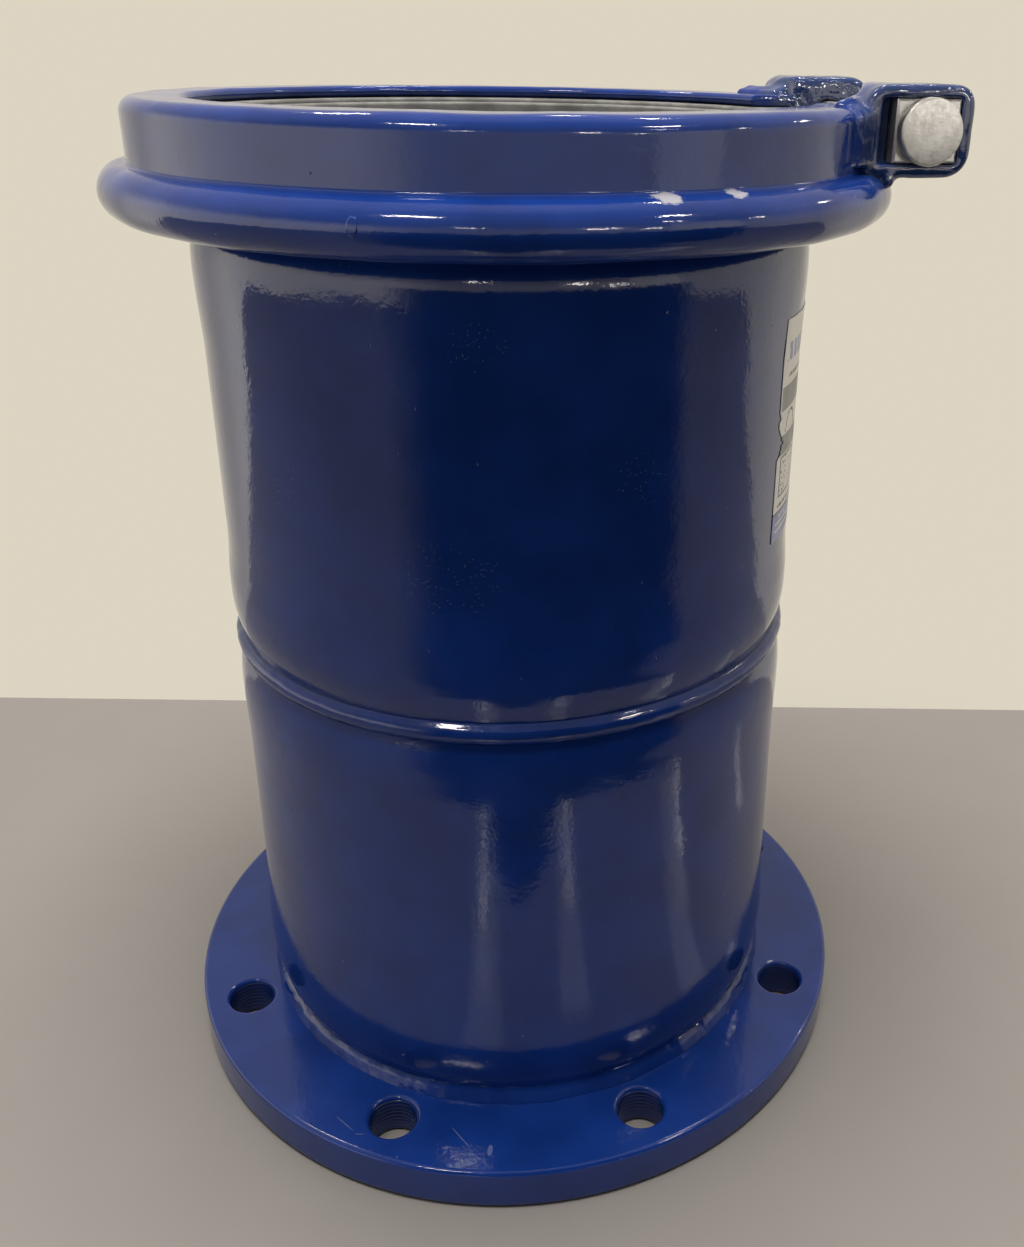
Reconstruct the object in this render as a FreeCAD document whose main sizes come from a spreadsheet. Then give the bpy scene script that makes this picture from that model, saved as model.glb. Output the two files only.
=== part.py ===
"""Flange adapter for a plain-ended pipe: drilled flange, welded two-piece sleeve and a one-bolt clamp ring.

Millimetres. The origin is the centre of the flange's sealing face, +Z runs up the pipe's axis,
the gap of the clamp ring is centred on +X and the clamp bolt lies along Y.
"""
import FreeCAD, Part
import math
import os
from types import SimpleNamespace

import Sketcher

SIZES = {
    # Sleeves: the radii below step out from or in from the sleeve's radius
    "sleeve_radius": 132.4,
    "sleeve_wall": 5.5,
    # Flange
    "flange_projection": 41.95,
    "flange_thickness": 21.1,
    "flange_edge": 3.0,
    "bolt_inset": 22.225,
    "bolt_hole": 22.2,
    "bolt_holes": 8,
    "drilling_turn": 17.16,
    # Lower sleeve, from its foot in the flange to the seam
    "foot_draw": 2.9,
    "foot_fit": 0.3,
    "foot_setback": 6.0,
    "foot_length": 22.0,
    "swell_out": 1.4,
    "swell_rise": 24.0,
    "swell_crown": 4.0,
    "swell_ease": 34.0,
    "lower_straight": 75.0,
    "lower_crown_out": 0.6,
    "lower_crown_ease": 25.0,
    "lower_crown": 6.0,
    "seam_foot_draw": 1.9,
    "seam_turn_in": 18.6,
    # Welds
    "weld_fit": 0.1,
    "toe_leg": 3.4,
    "toe_height": 6.9,
    "toe_crest": 0.4,
    "toe_swell": 0.5,
    "inner_weld_leg": 4.6,
    "inner_weld_swell": 0.4,
    "seam_height": 9.9,
    "seam_crown": 2.3,
    # Upper sleeve, from the seam to its flared end
    "seam_head_draw": 2.6,
    "shoulder_out": 0.6,
    "shoulder_rise": 18.5,
    "shoulder_crown": 8.0,
    "shoulder_ease": 22.0,
    "upper_draw": 0.7,
    "upper_straight": 82.0,
    "rim_out": 0.6,
    "rim_ease": 33.0,
    "rim_fall_draw": 1.1,
    "rim_fall": 12.0,
    "neck_draw": 3.4,
    "neck_fall": 6.8,
    "neck_bend": 10.0,
    "flare_reach": 16.0,
    # Clamp ring
    "ring_sheet": 5.0,
    "flare_play": 1.0,
    "band_crease": 1.5,
    "band_corner": 6.0,
    "bead_bend": 10.2,
    "bead_wrap": 60.0,
    "bead_sit": 2.2,
    "ring_rise": 34.4,
    "lip_width": 23.5,
    "half_gap": 46.0,
    "ring_fit": 0.3,
    # Gasket
    "gasket_step": 1.5,
    "liner_width": 5.5,
    "liner_height": 21.0,
    "liner_drop": 2.0,
    # Bridge plate
    "bridge_sheet": 2.4,
    "bridge_angle": 56.0,
    # Lugs
    "bolt_standoff": 6.0,
    "bolt_drop": 8.6,
    "lug_half_height": 17.5,
    "lug_depth": 30.0,
    "lug_floor": 10.5,
    "lug_side_wall": 6.3,
    "lug_wall": 5.4,
    "lug_shoulder": 9.0,
    "lug_corner": 5.0,
    "mouth_corner": 1.0,
    "lug_fit": 0.1,
    "lug_weld_reach": 15.0,
    "lug_weld_inside": 11.0,
    "lug_weld_build": 1.3,
    # Rocker plates
    "plate_width": 26.0,
    "plate_inner_play": 6.2,
    "plate_outer_play": 0.5,
    "plate_fit": 0.35,
    "plate_proud": 0.1,
    "plate_bevel": 0.9,
    "plate_flat": 7.0,
    "bolt_clearance": 0.6,
    # Clamp bolt, its washer and nut
    "bolt_diameter": 12.7,
    "bolt_length": 190.5,
    "bolt_end_bevel": 1.2,
    "head_diameter": 25.2,
    "head_edge": 3.6,
    "head_height": 5.6,
    "neck_square": 12.9,
    "neck_depth": 6.5,
    "neck_clearance": 0.3,
    "washer_diameter": 27.0,
    "washer_thickness": 2.5,
    "nut_flats": 19.05,
    "nut_height": 11.1,
    "nut_bevel": 1.4,
    "thread_fit": 0.05,
    # Label
    "label_sheet": 0.3,
    "label_fit": 0.1,
    "label_width": 101.8,
    "label_turn": -13.1,
    "label_low_margin": 1.0,
    "label_over_rim_ease": 18.0,
}

os.makedirs("parts", exist_ok=True)
doc = FreeCAD.newDocument("flange_adapter")
sheet = doc.addObject("Spreadsheet::Sheet", "Sizes")
for row, (alias, number) in enumerate(SIZES.items(), start=1):
    sheet.set(f"A{row}", alias)
    sheet.set(f"B{row}", str(number))
    sheet.setAlias(f"B{row}", alias)
doc.recompute()


class Length:
    """A size that keeps its number together with its sheet formula."""

    def __init__(self, number, formula):
        self.number = number
        self.formula = formula

    def __add__(self, other):
        return combined(self, other, "+", self.number + plain(other).number)

    def __sub__(self, other):
        return combined(self, other, "-", self.number - plain(other).number)

    def __mul__(self, other):
        return combined(self, other, "*", self.number * plain(other).number)

    def __truediv__(self, other):
        return combined(self, other, "/", self.number / plain(other).number)

    def __neg__(self):
        return Length(-self.number, f"(-1 * {self.formula})")


def plain(value):
    """Give a bare number the form of a size."""
    return value if isinstance(value, Length) else Length(value, f"({value})")


def combined(first, second, sign, number):
    return Length(number, f"({first.formula} {sign} {plain(second).formula})")


def root(value):
    return Length(math.sqrt(value.number), f"sqrt({value.formula})")


def cosine(degrees):
    return Length(math.cos(math.radians(degrees.number)), f"cos({degrees.formula} * 1 deg)")


def sine(degrees):
    return Length(math.sin(math.radians(degrees.number)), f"sin({degrees.formula} * 1 deg)")


def side_of_triangle(longest, other):
    """Remaining short side of a right triangle."""
    return root(longest * longest - other * other)


def arched(start, end, rise):
    """Radius of the arc between two corners that rises by the given amount over its chord."""
    across = end[0] - start[0]
    up = end[1] - start[1]
    chord_square = across * across + up * up
    return (chord_square / 4 + rise * rise) / (rise * 2)


def upright_at_end(start, end):
    """Radius of the arc between two corners that runs straight up at its wider end."""
    across = end[0] - start[0]
    up = end[1] - start[1]
    return (across * across + up * up) / (across * 2)


s = SimpleNamespace(**{name: Length(number, f"Sizes.{name}") for name, number in SIZES.items()})
ZERO = plain(0)

# Radii up the sleeves
foot_radius = s.sleeve_radius - s.foot_draw
swell_radius = s.sleeve_radius + s.swell_out
lower_crown_radius = s.sleeve_radius + s.lower_crown_out
seam_foot_radius = s.sleeve_radius - s.seam_foot_draw
seam_head_radius = s.sleeve_radius - s.seam_head_draw
shoulder_radius = s.sleeve_radius + s.shoulder_out
upper_radius = s.sleeve_radius - s.upper_draw
rim_radius = s.sleeve_radius + s.rim_out
rim_fall_radius = s.sleeve_radius - s.rim_fall_draw
neck_radius = s.sleeve_radius - s.neck_draw
flare_turn_radius = neck_radius + s.neck_bend
flare_radius = flare_turn_radius + s.flare_reach

# The flange round the sleeve's foot
flange_radius = foot_radius + s.flange_projection
flange_bore = foot_radius + s.foot_fit
bolt_circle_radius = flange_radius - s.bolt_inset

# Levels up the sleeves
foot_level = s.foot_setback
foot_top = foot_level + s.foot_length
swell_level = foot_top + s.swell_rise
swell_top = swell_level + s.swell_crown
lower_start = swell_top + s.swell_ease
lower_end = lower_start + s.lower_straight
lower_crown_start = lower_end + s.lower_crown_ease
lower_crown_end = lower_crown_start + s.lower_crown
seam_low = lower_crown_end + s.seam_turn_in
seam_high = seam_low + s.seam_height
shoulder_start = seam_high + s.shoulder_rise
shoulder_end = shoulder_start + s.shoulder_crown
upper_start = shoulder_end + s.shoulder_ease
upper_end = upper_start + s.upper_straight
rim_level = upper_end + s.rim_ease
rim_end = rim_level + s.rim_fall
neck_level = rim_end + s.neck_fall
flare_low = neck_level + s.neck_bend
flare_high = flare_low + s.sleeve_wall

# The clamp ring sits over the flare, with the gasket inside it
bead_level = flare_low + s.bead_sit
ring_top = bead_level + s.ring_rise
bead_centre = flare_radius - s.flare_play
band_radius = bead_centre - s.band_crease
crease_level = bead_level + s.bead_bend + s.band_crease
lip_radius = band_radius - s.lip_width
gasket_bore = neck_radius - s.sleeve_wall + s.gasket_step
gasket_top = ring_top - s.ring_sheet - s.ring_fit

# The bolt, the lugs and the rocker plates
bolt_x = band_radius + s.bolt_standoff
bolt_z = ring_top - s.bolt_drop
mouth = s.half_gap + s.lug_depth
lug_left = bolt_x - s.plate_width / 2 - s.plate_inner_play - s.lug_side_wall
lug_right = bolt_x + s.plate_width / 2 + s.plate_outer_play + s.lug_side_wall
plate_front = mouth + s.plate_proud
plate_half_height = s.lug_half_height - s.lug_wall - s.plate_fit
plate_back = s.half_gap + s.lug_floor + s.lug_fit
bolt_radius = s.bolt_diameter / 2
FULL_TURN = 360
NUT_SIDES = 6
HEAD_SIDE = -1
NUT_SIDE = 1


def new_body(name):
    body = doc.addObject("PartDesign::Body", name)
    body.Label = name
    return body


def origin_plane(body, role):
    for feature in body.Origin.OriginFeatures:
        if feature.Role == role:
            return feature
    raise ValueError(f"{body.Name} has no {role}")


def new_sketch(body, name, plane, lift=None):
    """Start a sketch on one of the body's own planes, lifted along the plane's normal."""
    sketch = body.newObject("Sketcher::SketchObject", name)
    sketch.AttachmentSupport = (origin_plane(body, plane), [""])
    sketch.MapMode = "FlatFace"
    if lift is not None:
        sketch.setExpression("AttachmentOffset.Base.z", lift.formula)
    return sketch


def winding(outline):
    """Plus one for an outline that runs counterclockwise, minus one for the other way."""
    area = 0.0
    for here, there in zip(outline, outline[1:] + outline[:1]):
        area += here[0].number * there[1].number - there[0].number * here[1].number
    return 1 if area > 0 else -1


def edge_between(start, end, bend, turning):
    """Straight or round edge; returns it with the ends that its start and finish have in the sketch."""
    if bend is None:
        return Part.LineSegment(start, end), 1, 2
    away, radius = bend
    chord = end - start
    rise = radius.number - math.sqrt(max(radius.number ** 2 - chord.Length ** 2 / 4, 0))
    outward = FreeCAD.Vector(chord.y, -chord.x, 0).normalize() * turning * away
    middle = (start + end) / 2 + outward * rise
    if turning * away > 0:
        return Part.Arc(start, middle, end), 1, 2
    return Part.Arc(end, middle, start), 2, 1


OUT = 1
IN = -1


def trace(sketch, outline):
    """Draw a closed outline and bind each corner and each bend to the sheet.

    A corner is (across, up) or (across, up, (OUT or IN, radius)) where the edge after it is round.
    """
    turning = winding(outline)
    constraints = []
    formulas = []
    ends = []
    for index, corner in enumerate(outline):
        following = outline[(index + 1) % len(outline)]
        start = FreeCAD.Vector(corner[0].number, corner[1].number, 0)
        end = FreeCAD.Vector(following[0].number, following[1].number, 0)
        bend = corner[2] if len(corner) > 2 else None
        geometry, start_end, finish_end = edge_between(start, end, bend, turning)
        edge = sketch.addGeometry(geometry, False)
        ends.append((edge, start_end, finish_end))
        for kind, place in (("DistanceX", corner[0]), ("DistanceY", corner[1])):
            constraints.append(Sketcher.Constraint(kind, -1, 1, edge, start_end, place.number))
            formulas.append(place.formula)
        if bend is not None:
            constraints.append(Sketcher.Constraint("Radius", edge, bend[1].number))
            formulas.append(bend[1].formula)
    indices = sketch.addConstraint(constraints)
    joins = []
    for here, there in zip(ends, ends[1:] + ends[:1]):
        joins.append(Sketcher.Constraint("Coincident", here[0], here[2], there[0], there[1]))
    sketch.addConstraint(joins)
    for index, formula in zip(indices, formulas):
        sketch.setExpression(f"Constraints[{index}]", formula)


def trace_circle(sketch, across, up, radius):
    """Draw a circle whose centre and radius are bound to the sheet."""
    centre = FreeCAD.Vector(across.number, up.number, 0)
    circle = sketch.addGeometry(Part.Circle(centre, FreeCAD.Vector(0, 0, 1), radius.number), False)
    bound = (
        (Sketcher.Constraint("DistanceX", -1, 1, circle, 3, across.number), across),
        (Sketcher.Constraint("DistanceY", -1, 1, circle, 3, up.number), up),
        (Sketcher.Constraint("Radius", circle, radius.number), radius),
    )
    for constraint, place in bound:
        index = sketch.addConstraint(constraint)
        sketch.setExpression(f"Constraints[{index}]", place.formula)


def revolved(body, name, outline, kind="PartDesign::Revolution", angle=None):
    """Turn an outline about the pipe's axis, all the way or evenly to both sides of its plane."""
    sketch = new_sketch(body, f"{name}_section", "XZ_Plane")
    trace(sketch, outline)
    turn = body.newObject(kind, f"{name}_turn")
    turn.Profile = sketch
    turn.ReferenceAxis = (sketch, ["V_Axis"])
    turn.Angle = FULL_TURN
    if angle is not None:
        turn.Midplane = True
        turn.setExpression("Angle", angle.formula)
    body.Tip = turn
    return turn


def padded(body, name, sketch, length, backwards=False):
    pad = body.newObject("PartDesign::Pad", name)
    pad.Profile = sketch
    pad.Reversed = backwards
    pad.setExpression("Length", length.formula)
    body.Tip = pad
    return pad


def pocketed(body, name, sketch, depth=None, backwards=False):
    """Cut a sketch into the body, all the way through where no depth is given."""
    pocket = body.newObject("PartDesign::Pocket", name)
    pocket.Profile = sketch
    pocket.Reversed = backwards
    if depth is None:
        pocket.Type = "ThroughAll"
    else:
        pocket.setExpression("Length", depth.formula)
    body.Tip = pocket
    return pocket


def ring_body(name, outline, angle=None):
    body = new_body(name)
    revolved(body, name, outline, angle=angle)
    return body


def move_to(body, across, along, up):
    for axis, place in (("x", across), ("y", along), ("z", up)):
        body.setExpression(f"Placement.Base.{axis}", place.formula)


def turn_about(body, axis, degrees):
    body.Placement = FreeCAD.Placement(FreeCAD.Vector(), FreeCAD.Rotation(axis, degrees))


def make_flange():
    """Drilled plate flange with rounded, coated edges."""
    body = ring_body("flange", [
        (flange_bore, ZERO),
        (flange_radius - s.flange_edge, ZERO, (OUT, s.flange_edge)),
        (flange_radius, s.flange_edge),
        (flange_radius, s.flange_thickness - s.flange_edge, (OUT, s.flange_edge)),
        (flange_radius - s.flange_edge, s.flange_thickness),
        (flange_bore, s.flange_thickness),
    ])
    hole = new_sketch(body, "bolt_hole_circle", "XY_Plane")
    trace_circle(hole, bolt_circle_radius, ZERO, s.bolt_hole / 2)
    pocket = pocketed(body, "bolt_hole", hole, backwards=True)
    pattern = body.newObject("PartDesign::PolarPattern", "bolt_hole_pattern")
    pattern.Originals = [pocket]
    pattern.Axis = (hole, ["N_Axis"])
    pattern.Angle = FULL_TURN
    pattern.setExpression("Occurrences", s.bolt_holes.formula)
    body.Tip = pattern
    turn_about(body, FreeCAD.Vector(0, 0, 1), s.drilling_turn.number)
    body.setExpression("Placement.Rotation.Angle", s.drilling_turn.formula)
    return body


def make_flange_outer_weld():
    """Fillet weld between the flange's top face and the sleeve's foot."""
    inner = foot_radius + s.weld_fit
    low = s.flange_thickness
    toe = (inner + s.toe_leg, low)
    crest = (inner + s.toe_crest, low + s.toe_height)
    return ring_body("flange_outer_weld", [
        (inner, low),
        (*toe, (OUT, arched(toe, crest, s.toe_swell))),
        crest,
        (inner, low + s.toe_height),
    ])


def make_flange_inner_weld():
    """Fillet weld between the flange's bore and the end of the sleeve's foot."""
    outer = flange_bore - s.weld_fit
    level = s.foot_setback
    low = (outer, level - s.inner_weld_leg)
    end = (outer - s.inner_weld_leg, level)
    return ring_body("flange_inner_weld", [
        low,
        (outer, level),
        (*end, (OUT, arched(low, end, s.inner_weld_swell))),
    ])


def make_lower_sleeve():
    """Rolled sleeve with a drawn-in foot and a rounded top end."""
    wall = s.sleeve_wall
    foot = (foot_radius, foot_top)
    swell = (swell_radius, swell_level)
    crown = (lower_crown_radius, lower_crown_end)
    seam = (seam_foot_radius, seam_low)
    foot_bend = upright_at_end(foot, swell)
    seam_bend = upright_at_end(seam, crown)
    return ring_body("lower_sleeve", [
        (foot_radius, foot_level),
        (*foot, (OUT, foot_bend)),
        swell,
        (swell_radius, swell_top),
        (s.sleeve_radius, lower_start),
        (s.sleeve_radius, lower_end),
        (lower_crown_radius, lower_crown_start),
        (*crown, (OUT, seam_bend)),
        seam,
        (seam_foot_radius - wall, seam_low, (IN, seam_bend)),
        (lower_crown_radius - wall, lower_crown_end),
        (lower_crown_radius - wall, lower_crown_start),
        (s.sleeve_radius - wall, lower_end),
        (s.sleeve_radius - wall, lower_start),
        (swell_radius - wall, swell_top),
        (swell_radius - wall, swell_level, (IN, foot_bend)),
        (foot_radius - wall, foot_top),
        (foot_radius - wall, foot_level),
    ])


def make_seam_bead():
    """Butt weld that joins the two sleeves and stands proud of them."""
    wall = s.sleeve_wall
    low = (seam_foot_radius, seam_low)
    high = (seam_head_radius, seam_high)
    return ring_body("seam_bead", [
        (*low, (OUT, arched(low, high, s.seam_crown))),
        high,
        (seam_head_radius - wall, seam_high),
        (seam_foot_radius - wall, seam_low),
    ])


def make_upper_sleeve():
    """Rolled sleeve with a shoulder at each end and a flare that carries the gasket."""
    wall = s.sleeve_wall
    seam = (seam_head_radius, seam_high)
    shoulder = (shoulder_radius, shoulder_start)
    rim = (rim_radius, rim_level)
    fall = (rim_fall_radius, rim_end)
    shoulder_bend = upright_at_end(seam, shoulder)
    rim_bend = upright_at_end(fall, rim)
    return ring_body("upper_sleeve", [
        (*seam, (OUT, shoulder_bend)),
        shoulder,
        (shoulder_radius, shoulder_end),
        (upper_radius, upper_start),
        (upper_radius, upper_end),
        (*rim, (OUT, rim_bend)),
        fall,
        (neck_radius, neck_level, (IN, s.neck_bend)),
        (flare_turn_radius, flare_low),
        (flare_radius, flare_low),
        (flare_radius, flare_high),
        (flare_turn_radius, flare_high, (OUT, s.neck_bend + wall)),
        (neck_radius - wall, neck_level),
        (rim_fall_radius - wall, rim_end, (IN, rim_bend)),
        (rim_radius - wall, rim_level),
        (upper_radius - wall, upper_end),
        (upper_radius - wall, upper_start),
        (shoulder_radius - wall, shoulder_end),
        (shoulder_radius - wall, shoulder_start, (IN, shoulder_bend)),
        (seam_head_radius - wall, seam_high),
    ])


def ring_outside(fit):
    """Outline of the clamp ring's outside from the bead's widest point to its flat top."""
    bend = s.bead_bend + fit
    return [
        (bead_centre + bend, bead_level, (OUT, bend)),
        (bead_centre, bead_level + bend, (IN, s.band_crease - fit)),
        (band_radius + fit, crease_level),
        (band_radius + fit, ring_top - s.band_corner, (OUT, s.band_corner + fit)),
        (band_radius - s.band_corner, ring_top + fit),
    ]


def seat_on_ring(body, name):
    """Cut away what would reach inside the clamp ring's outside."""
    inner = lip_radius - s.lug_shoulder
    inside = [(inner, bead_level)] + ring_outside(s.lug_fit) + [(inner, ring_top + s.lug_fit)]
    revolved(body, f"{name}_seat", inside, "PartDesign::Groove")


def make_clamp_ring():
    """Rolled ring, open at +X: a lip over the gasket, a band and a bead hooked round the flare."""
    sheet_wall = s.ring_sheet
    inner_bend = s.bead_bend - sheet_wall
    lip_round = sheet_wall / 2
    wrap_across = sine(s.bead_wrap)
    wrap_down = cosine(s.bead_wrap)
    inner_corner = s.band_corner - sheet_wall
    outline = [(bead_centre - s.bead_bend * wrap_across, bead_level - s.bead_bend * wrap_down, (OUT, s.bead_bend))]
    outline += ring_outside(ZERO)
    outline += [
        (lip_radius + lip_round, ring_top, (OUT, lip_round)),
        (lip_radius, ring_top - lip_round, (OUT, lip_round)),
        (lip_radius + lip_round, ring_top - sheet_wall),
        (band_radius - s.band_corner, ring_top - sheet_wall, (IN, inner_corner)),
        (band_radius - sheet_wall, ring_top - s.band_corner),
        (band_radius - sheet_wall, crease_level, (OUT, s.band_crease + sheet_wall)),
        (bead_centre, bead_level + inner_bend, (IN, inner_bend)),
        (bead_centre + inner_bend, bead_level, (IN, inner_bend)),
        (bead_centre - inner_bend * wrap_across, bead_level - inner_bend * wrap_down),
    ]
    body = ring_body("clamp_ring", outline)
    gap = new_sketch(body, "ring_gap", "XY_Plane")
    far = bead_centre + s.bead_bend * 2
    trace(gap, [(ZERO, -s.half_gap), (far, -s.half_gap), (far, s.half_gap), (ZERO, s.half_gap)])
    pocketed(body, "ring_gap_cut", gap, backwards=True)
    return body


def make_gasket():
    """Rubber ring that fills the space between the flare and the ring's lip."""
    outer = band_radius - s.ring_sheet - s.bridge_sheet - s.ring_fit * 2
    seat = flare_high + s.weld_fit
    seat_bend = s.neck_bend + s.sleeve_wall + s.weld_fit
    heel = neck_level + side_of_triangle(seat_bend, flare_turn_radius - gasket_bore)
    return ring_body("gasket", [
        (gasket_bore, heel, (IN, seat_bend)),
        (flare_turn_radius, seat),
        (outer, seat),
        (outer, gasket_top),
        (gasket_bore, gasket_top),
    ])


def make_gasket_liner():
    """Removable inner layer of the gasket, for the larger pipes it comes out."""
    inner = gasket_bore - s.liner_width
    outer = gasket_bore - s.weld_fit
    top = gasket_top - s.liner_drop
    low = top - s.liner_height
    return ring_body("gasket_liner", [(inner, low), (outer, low), (outer, top), (inner, top)])


def make_bridge_plate():
    """Thin plate inside the ring that backs the gasket across the gap."""
    outer = band_radius - s.ring_sheet - s.ring_fit
    inner = outer - s.bridge_sheet
    outline = [(inner, crease_level), (outer, crease_level), (outer, gasket_top), (inner, gasket_top)]
    return ring_body("bridge_plate", outline, angle=s.bridge_angle)


def rounded_box(left, right, low, high, radii):
    """Outline of a box with a radius at each corner: low right, high right, high left and low left."""
    low_right, high_right, high_left, low_left = radii
    return [
        (left + low_left, low),
        (right - low_right, low, (OUT, low_right)),
        (right, low + low_right),
        (right, high - high_right, (OUT, high_right)),
        (right - high_right, high),
        (left + high_left, high, (OUT, high_left)),
        (left, high - high_left),
        (left, low + low_left, (OUT, low_left)),
    ]


def make_lug(name, side):
    """Box lug, open away from the gap, fitted round the ring's outside."""
    body = new_body(name)
    backwards = side == NUT_SIDE
    left = lug_left
    right = lug_right
    low = bolt_z - s.lug_half_height
    high = bolt_z + s.lug_half_height
    block = new_sketch(body, f"{name}_block", "XZ_Plane", s.half_gap * -side)
    trace(block, rounded_box(left, right, low, high, (s.lug_corner, s.lug_corner, s.lug_shoulder, s.lug_corner)))
    padded(body, f"{name}_pad", block, s.lug_depth, backwards)
    opening = new_sketch(body, f"{name}_mouth", "XZ_Plane", mouth * -side)
    side_wall = s.lug_side_wall
    wall = s.lug_wall
    trace(opening, rounded_box(left + side_wall, right - side_wall, low + wall, high - wall, (s.mouth_corner,) * 4))
    pocketed(body, f"{name}_mouth_cut", opening, s.lug_depth - s.lug_floor, backwards)
    bore = new_sketch(body, f"{name}_bore", "XZ_Plane", mouth * -side)
    trace_circle(bore, bolt_x, bolt_z, bolt_radius + s.bolt_clearance)
    pocketed(body, f"{name}_bore_cut", bore, s.lug_depth + s.lug_floor, backwards)
    seat_on_ring(body, name)
    return body


def make_lug_weld(name, side):
    """Weld that runs up the band and over the lip beside a lug's mouth."""
    body = new_body(name)
    outer = band_radius + s.lug_weld_build
    inner = band_radius - s.lug_weld_inside
    near = mouth + s.lug_fit
    far = mouth + s.lug_weld_reach
    plan = new_sketch(body, f"{name}_plan", "XY_Plane", crease_level)
    trace(plan, [
        (side_of_triangle(outer, far), far * side, (OUT, outer)),
        (side_of_triangle(outer, near), near * side),
        (side_of_triangle(inner, near), near * side, (IN, inner)),
        (side_of_triangle(inner, far), far * side),
    ])
    padded(body, f"{name}_pad", plan, ring_top + s.lug_weld_build - crease_level)
    seat_on_ring(body, name)
    return body


def edges_on(shape, test):
    """Names of the edges whose every vertex passes a test."""
    names = []
    for index, edge in enumerate(shape.Edges, start=1):
        if all(test(vertex.Point) for vertex in edge.Vertexes):
            names.append(f"Edge{index}")
    return names


def make_rocker_plate(name, side, square_hole):
    """Washer block with a flat face at the lug's mouth and a round back on the lug's floor."""
    body = new_body(name)
    left = bolt_x - s.plate_width / 2
    right = bolt_x + s.plate_width / 2
    flat_end = plate_front - s.plate_flat
    ends = ((left, flat_end), (right, flat_end))
    back_bend = arched(*ends, flat_end - plate_back)
    plan = new_sketch(body, f"{name}_plan", "XY_Plane", bolt_z - plate_half_height)
    trace(plan, [
        (right, flat_end * side),
        (right, plate_front * side),
        (left, plate_front * side),
        (left, flat_end * side, (OUT, back_bend)),
    ])
    padded(body, f"{name}_pad", plan, plate_half_height * 2)
    backwards = side == NUT_SIDE
    bore = new_sketch(body, f"{name}_bore", "XZ_Plane", plate_front * -side)
    trace_circle(bore, bolt_x, bolt_z, bolt_radius + s.bolt_clearance)
    pocketed(body, f"{name}_bore_cut", bore, s.lug_depth, backwards)
    if square_hole:
        half = s.neck_square / 2 + s.neck_clearance
        square = new_sketch(body, f"{name}_square", "XZ_Plane", plate_front * -side)
        trace(square, rounded_box(bolt_x - half, bolt_x + half, bolt_z - half, bolt_z + half, (s.neck_clearance,) * 4))
        pocketed(body, f"{name}_square_cut", square, s.neck_depth + s.neck_clearance, backwards)
    doc.recompute()
    front = plate_front.number * side
    reach = s.plate_width.number / 2

    def on_front_rim(point):
        return math.isclose(point.y, front) and math.isclose(abs(point.x - bolt_x.number), reach)

    block = body.Tip
    bevel = body.newObject("PartDesign::Chamfer", f"{name}_bevel")
    bevel.Base = (block, edges_on(block.Shape, on_front_rim))
    bevel.setExpression("Size", s.plate_bevel.formula)
    body.Tip = bevel
    return body


def make_clamp_bolt():
    """Round-headed bolt with a square neck, drawn head up and laid along Y."""
    head_radius = s.head_diameter / 2
    body = new_body("clamp_bolt")
    rim = (head_radius, s.head_edge)
    top = (ZERO, s.head_height)
    dome = upright_at_end(rim[::-1], top[::-1])
    revolved(body, "clamp_bolt", [
        (ZERO, -s.bolt_length),
        (bolt_radius - s.bolt_end_bevel, -s.bolt_length),
        (bolt_radius, s.bolt_end_bevel - s.bolt_length),
        (bolt_radius, ZERO),
        (head_radius, ZERO),
        (*rim, (OUT, dome)),
        top,
    ])
    half = s.neck_square / 2
    square = new_sketch(body, "clamp_bolt_square", "XY_Plane")
    trace(square, rounded_box(-half, half, -half, half, (s.neck_clearance,) * 4))
    padded(body, "clamp_bolt_neck", square, s.neck_depth, backwards=True)
    turn_about(body, FreeCAD.Vector(1, 0, 0), 90)
    move_to(body, bolt_x, -plate_front, bolt_z)
    return body


def make_nut_washer():
    """Round washer between the nut and its rocker plate."""
    bore = bolt_radius + s.bolt_clearance
    radius = s.washer_diameter / 2
    body = ring_body("nut_washer", [
        (bore, ZERO),
        (radius, ZERO),
        (radius, s.washer_thickness),
        (bore, s.washer_thickness),
    ])
    turn_about(body, FreeCAD.Vector(1, 0, 0), -90)
    move_to(body, bolt_x, plate_front, bolt_z)
    return body


def make_clamp_nut():
    """Hexagon nut with bevelled corners, on the bolt's thread."""
    body = new_body("clamp_nut")
    corner = s.nut_flats / (2 * math.cos(math.pi / NUT_SIDES))
    corners = []
    for index in range(NUT_SIDES):
        angle = math.radians(FULL_TURN / NUT_SIDES * index)
        corners.append((corner * math.cos(angle), corner * math.sin(angle)))
    hexagon = new_sketch(body, "clamp_nut_hexagon", "XY_Plane")
    trace(hexagon, corners)
    trace_circle(hexagon, ZERO, ZERO, bolt_radius + s.thread_fit)
    padded(body, "clamp_nut_pad", hexagon, s.nut_height)
    over = corner + s.nut_bevel
    revolved(body, "clamp_nut_bevel", [
        (corner - s.nut_bevel, s.nut_height),
        (over, s.nut_height - s.nut_bevel),
        (over, s.nut_height + s.nut_bevel),
        (corner - s.nut_bevel, s.nut_height + s.nut_bevel),
    ], "PartDesign::Groove")
    turn_about(body, FreeCAD.Vector(1, 0, 0), -90)
    move_to(body, bolt_x, plate_front + s.washer_thickness, bolt_z)
    return body


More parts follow.
